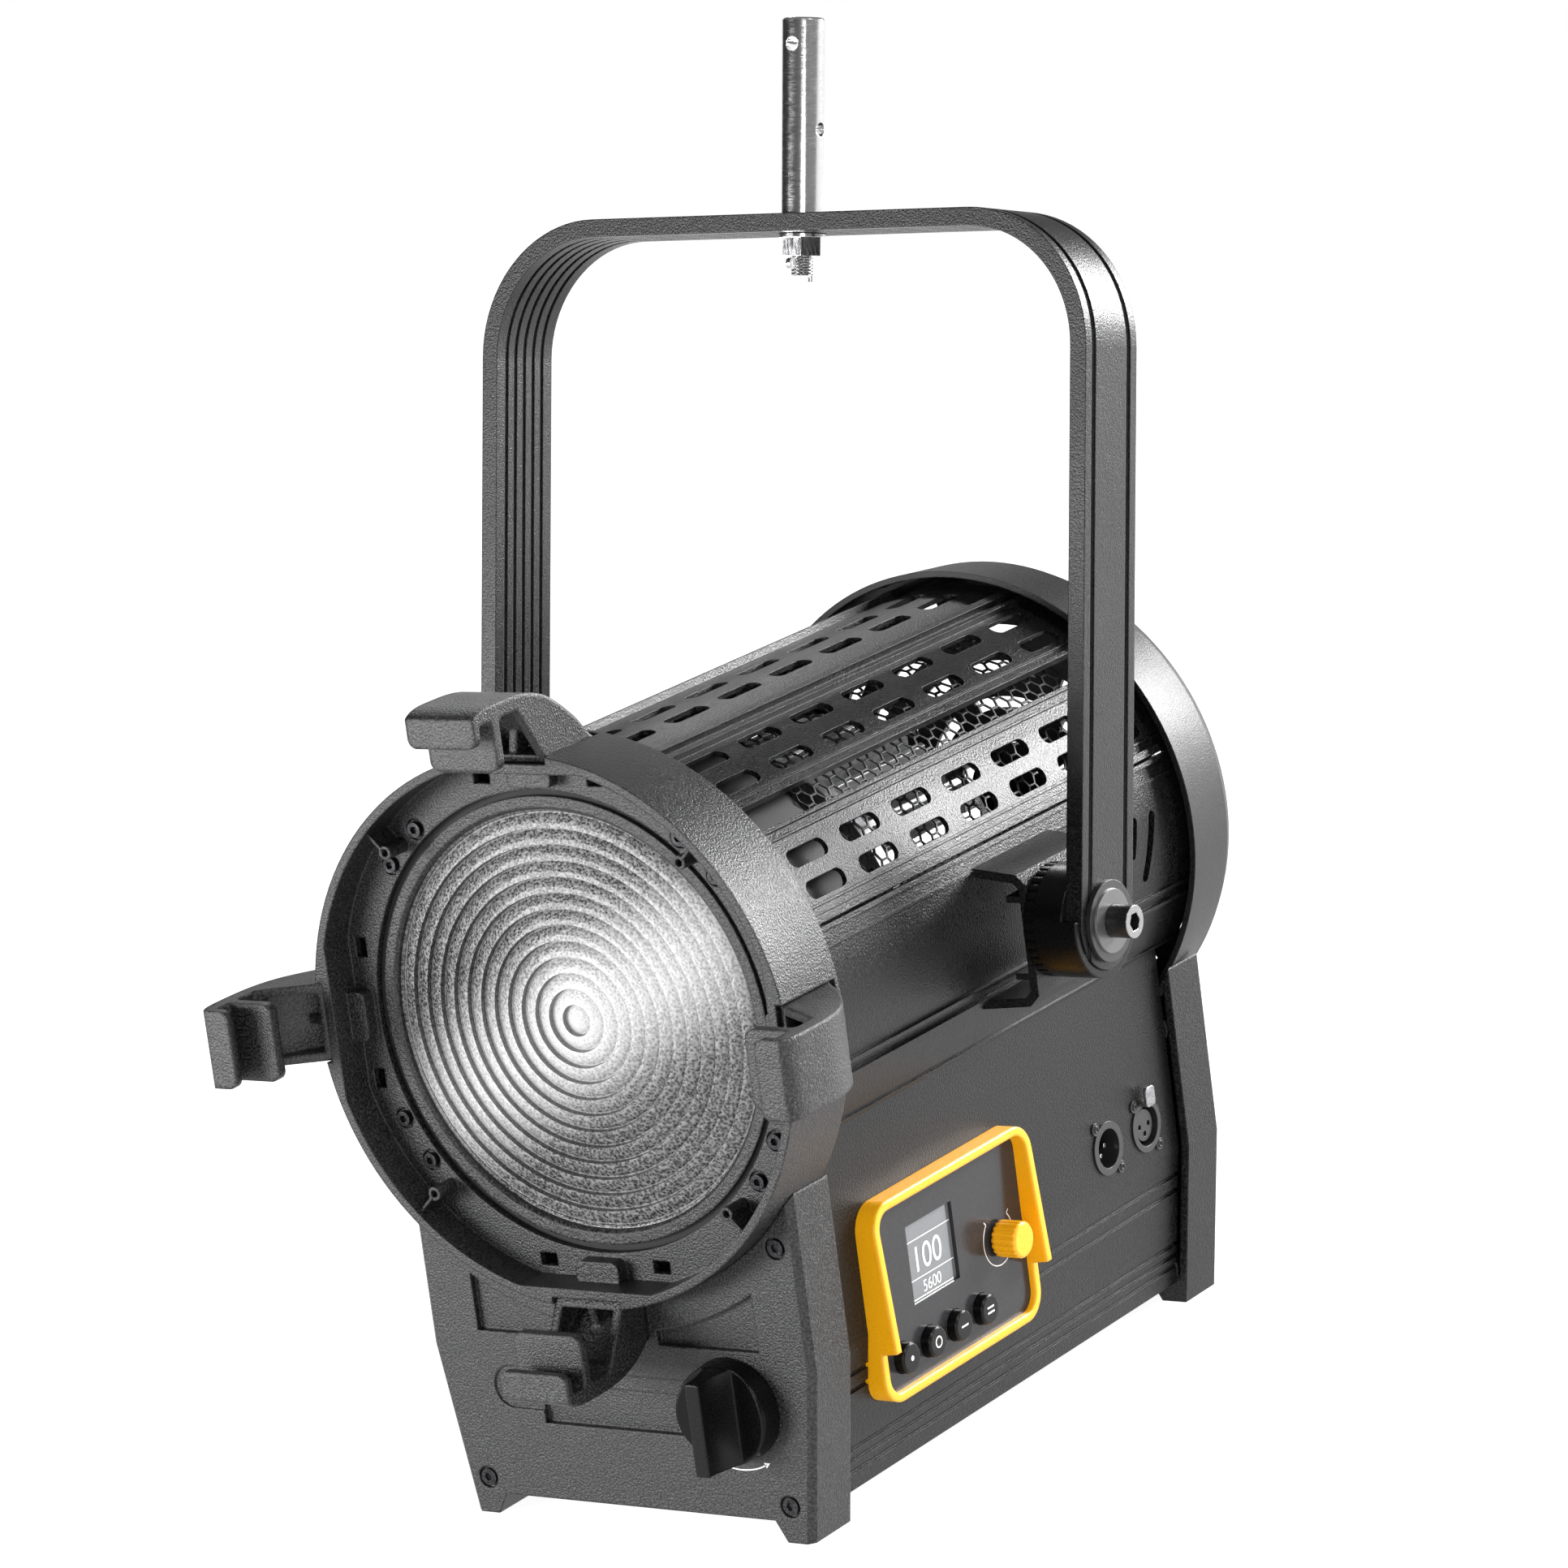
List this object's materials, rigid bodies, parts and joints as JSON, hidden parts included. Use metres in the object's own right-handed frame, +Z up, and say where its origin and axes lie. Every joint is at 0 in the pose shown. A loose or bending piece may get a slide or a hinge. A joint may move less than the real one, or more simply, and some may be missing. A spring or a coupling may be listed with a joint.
{
  "type": "fresnel spotlight",
  "caption": "Studio fresnel spotlight: round lens in a ring with accessory ears, vented body, sliding lamp carriage, control panel, and a tilting yoke with a stand spigot.",
  "frame": {"origin": "on the floor the feet stand on, under the middle of the lamp's overall box", "axes": "+Z up, -Y the way the light goes along the level optical axis, +X the side with the control panel"},
  "size_m": [0.362, 0.45, 0.6372],
  "materials": {
    "black_profile": "satin",
    "black_casting": "matte",
    "black_sheet": "matte",
    "screen_mesh": "satin",
    "lens_glass": "gloss",
    "seal_rubber": "matte",
    "bright_steel": "satin",
    "dark_steel": "satin",
    "bare_aluminium": "satin",
    "black_plastic": "satin",
    "yellow_plastic": "satin",
    "face_gloss": "gloss",
    "led_white": "matte",
    "circuit_green": "satin"
  },
  "bodies": {
    "head": {"front_ring": "black_casting", "ring_screws": "dark_steel", "lens_retaining_ring": "black_casting", "fresnel_lens": "lens_glass", "lens_gasket": "seal_rubber", "light_baffle": "black_sheet", "accessory_ear_right": "black_casting", "accessory_ear_bottom": "black_casting", "accessory_ear_left": "black_casting", "ear_hinge_pin": "dark_steel", "front_plate": "black_casting", "rear_plate": "black_casting", "end_plate_screws": "dark_steel", "rear_cover": "black_casting", "top_shell": "black_profile", "shoulder_panel_right": "black_profile", "shoulder_panel_left": "black_profile", "side_rail_right": "black_profile", "side_rail_left": "black_profile", "side_panel_right": "black_profile", "side_panel_left": "black_profile", "bottom_plate": "black_profile", "hex_screen": "screen_mesh", "pivot_bracket_right": "black_profile", "pivot_bracket_left": "black_profile", "pivot_bolt": "dark_steel", "guide_rods": "bright_steel", "power_supply": "black_plastic", "control_guard": "yellow_plastic", "control_face": "face_gloss", "display_module": "circuit_green", "data_socket_in": "black_plastic", "data_socket_out": "black_plastic", "power_inlet": "black_plastic", "switch_frame": "black_plastic"},
    "top_ear": {"accessory_ear_top": "black_casting"},
    "yoke_frame": {"yoke": "black_profile", "pivot_cup_right": "black_plastic", "pivot_cup_left": "black_plastic", "pivot_washers": "black_plastic"},
    "tilt_lock": {"tilt_lock_lever": "black_plastic"},
    "spigot_unit": {"spigot": "bright_steel", "spigot_washer": "bright_steel", "spigot_nut": "bright_steel", "cotter_pin": "bright_steel"},
    "focus_drive": {"focus_knob": "black_plastic", "focus_leadscrew": "bright_steel"},
    "light_engine": {"led_carriage": "bare_aluminium", "led_module": "led_white", "heat_sink": "bare_aluminium", "fan_frame": "black_plastic"},
    "fan": {"fan_rotor": "black_plastic"},
    "button_1": {"menu_button_1": "black_plastic"},
    "button_2": {"menu_button_2": "black_plastic"},
    "button_3": {"menu_button_3": "black_plastic"},
    "button_4": {"menu_button_4": "black_plastic"},
    "encoder_push": {"encoder_shaft": "bright_steel"},
    "encoder_turn": {"encoder_knob": "yellow_plastic"},
    "latch": {"socket_latch": "bright_steel"},
    "rocker": {"power_rocker": "black_plastic"}
  },
  "joints": [
    {"name": "yoke_tilt", "type": "hinge", "parent": "head", "child": "yoke_frame", "pos_m": [0, 0.0232, 0.236], "axis": [1, 0, 0], "range_deg": [-85, 62]},
    {"name": "spigot_turn", "type": "hinge", "parent": "yoke_frame", "child": "spigot_unit", "pos_m": [0, 0.09928, 0.54693], "axis": [0, 0.2377, 0.9713], "continuous": true},
    {"name": "tilt_lock_turn", "type": "hinge", "parent": "head", "child": "tilt_lock", "pos_m": [-0.17, 0.0232, 0.236], "axis": [1, 0, 0], "range_deg": [-90, 0]},
    {"name": "top_ear_open", "type": "hinge", "parent": "head", "child": "top_ear", "pos_m": [0, -0.1435, 0.3598], "axis": [-1, 0, 0], "range_deg": [0, 70], "stiffness_Nm_per_rad": 0.15, "springref_deg": -17.19},
    {"name": "focus_turn", "type": "hinge", "parent": "head", "child": "focus_drive", "pos_m": [0.0595, -0.165, 0.061], "axis": [0, 1, 0], "range_deg": [-900, 900]},
    {"name": "carriage_slide", "type": "slide", "parent": "head", "child": "light_engine", "axis": [0, 1, 0], "range_m": [-0.04, 0.04]},
    {"name": "fan_spin", "type": "hinge", "parent": "light_engine", "child": "fan", "pos_m": [0, 0.09, 0.236], "axis": [0, 1, 0], "continuous": true},
    {"name": "button_1_press", "type": "slide", "parent": "head", "child": "button_1", "axis": [-1, 0, 0], "range_m": [0, 0.0015], "stiffness_N_per_m": 400, "springref_m": -0.001},
    {"name": "button_2_press", "type": "slide", "parent": "head", "child": "button_2", "axis": [-1, 0, 0], "range_m": [0, 0.0015], "stiffness_N_per_m": 400, "springref_m": -0.001},
    {"name": "button_3_press", "type": "slide", "parent": "head", "child": "button_3", "axis": [-1, 0, 0], "range_m": [0, 0.0015], "stiffness_N_per_m": 400, "springref_m": -0.001},
    {"name": "button_4_press", "type": "slide", "parent": "head", "child": "button_4", "axis": [-1, 0, 0], "range_m": [0, 0.0015], "stiffness_N_per_m": 400, "springref_m": -0.001},
    {"name": "encoder_press", "type": "slide", "parent": "head", "child": "encoder_push", "axis": [-1, 0, 0], "range_m": [0, 0.0008], "stiffness_N_per_m": 600, "springref_m": -0.001},
    {"name": "encoder_rotate", "type": "hinge", "parent": "encoder_push", "child": "encoder_turn", "pos_m": [0.105, 0.0025, 0.089], "axis": [1, 0, 0], "continuous": true},
    {"name": "latch_press", "type": "slide", "parent": "head", "child": "latch", "axis": [-1, 0, 0], "range_m": [0, 0.0015], "stiffness_N_per_m": 400, "springref_m": -0.001},
    {"name": "power_switch", "type": "hinge", "parent": "head", "child": "rocker", "pos_m": [-0.005, 0.1984, 0.051], "axis": [-1, 0, 0], "range_deg": [0, 24]}
  ],
  "couplings": [
    {"joint": "focus_turn", "follows": "carriage_slide", "rad_per_m": 392.6}
  ]
}
